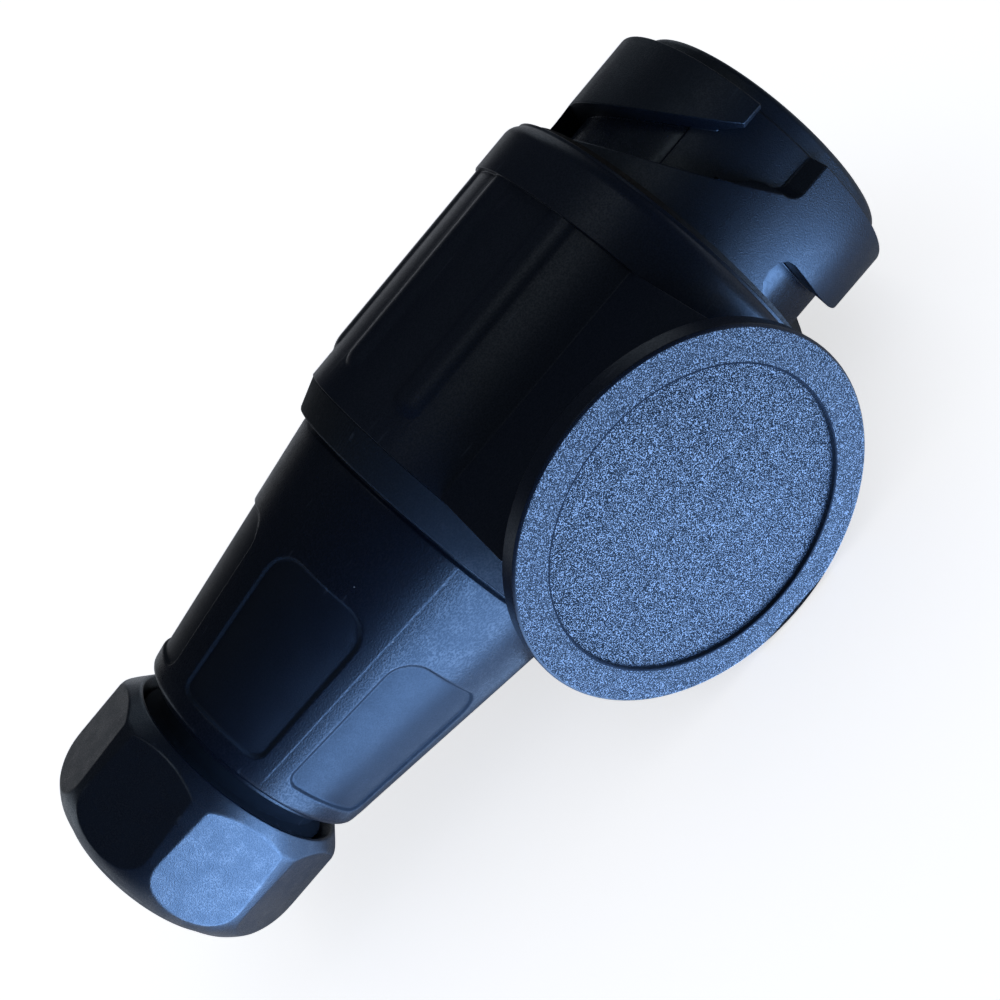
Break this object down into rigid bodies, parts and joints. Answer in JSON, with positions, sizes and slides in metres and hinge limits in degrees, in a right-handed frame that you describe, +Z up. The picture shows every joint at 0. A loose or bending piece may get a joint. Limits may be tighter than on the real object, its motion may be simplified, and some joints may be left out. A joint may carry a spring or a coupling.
{
  "type": "trailer plug",
  "caption": "Round trailer plug with a bayonet nose of curved slots, ribbed grip with a round thumb disc, conical rear shell with recessed panels and a domed faceted gland nut.",
  "frame": {"origin": "on the floor, under the middle of the plug's box", "axes": "+X along the plug's axis to the nose, thumb disc toward -Y, +Z up"},
  "size_m": [0.1348, 0.0678, 0.0553],
  "materials": {
    "grip_plastic": "satin moulded black plastic, fine grain, spark-eroded speckle on the disc",
    "nose_plastic": "fine-grained moulded black plastic",
    "shell_plastic": "fine-grained moulded black plastic",
    "nut_plastic": "satin moulded black plastic",
    "insert_plastic": "glass-filled dark grey plastic",
    "slip_plastic": "natural nylon",
    "rubber": "black rubber",
    "brass": "turned brass",
    "steel": "zinc-plated steel"
  },
  "bodies": {
    "housing": {"grip_body": "grip_plastic", "bayonet_nose": "nose_plastic", "face_gasket": "rubber", "rear_shell": "shell_plastic", "shell_oring": "rubber", "cable_seal": "rubber"},
    "insert": {"contact_carrier": "insert_plastic", "coding_key": "insert_plastic", "terminal_block": "insert_plastic", "terminal_screws": "steel", "insert_screw": "steel", "retaining_ring": "steel", "insert_oring": "rubber", "contact_pin_1": "brass", "contact_pin_2": "brass", "contact_pin_3": "brass", "contact_pin_4": "brass", "contact_pin_5": "brass", "contact_pin_6": "brass", "contact_pin_7": "brass", "contact_pin_8": "brass", "contact_pin_9": "brass", "contact_pin_10": "brass", "contact_pin_11": "brass", "contact_pin_12": "brass", "contact_pin_13": "brass"},
    "clamp": {"clamp_ring": "slip_plastic"},
    "nut": {"gland_nut": "nut_plastic"}
  },
  "joints": [
    {"name": "insert_turn", "type": "hinge", "parent": "housing", "child": "insert", "pos_m": [0.00183, 0.00627, 0.02763], "axis": [-1, 0, 0], "range_deg": [0, 90]},
    {"name": "gland_press", "type": "slide", "parent": "housing", "child": "clamp", "axis": [1, 0, 0], "range_m": [0, 0.003], "deforming": ["cable_seal"]},
    {"name": "nut_turn", "type": "hinge", "parent": "clamp", "child": "nut", "pos_m": [0.00183, 0.00627, 0.02763], "axis": [1, 0, 0], "range_deg": [0, 540]}
  ],
  "couplings": [
    {"joint": "gland_press", "follows": "nut_turn", "m_per_rad": 0.00031831}
  ]
}
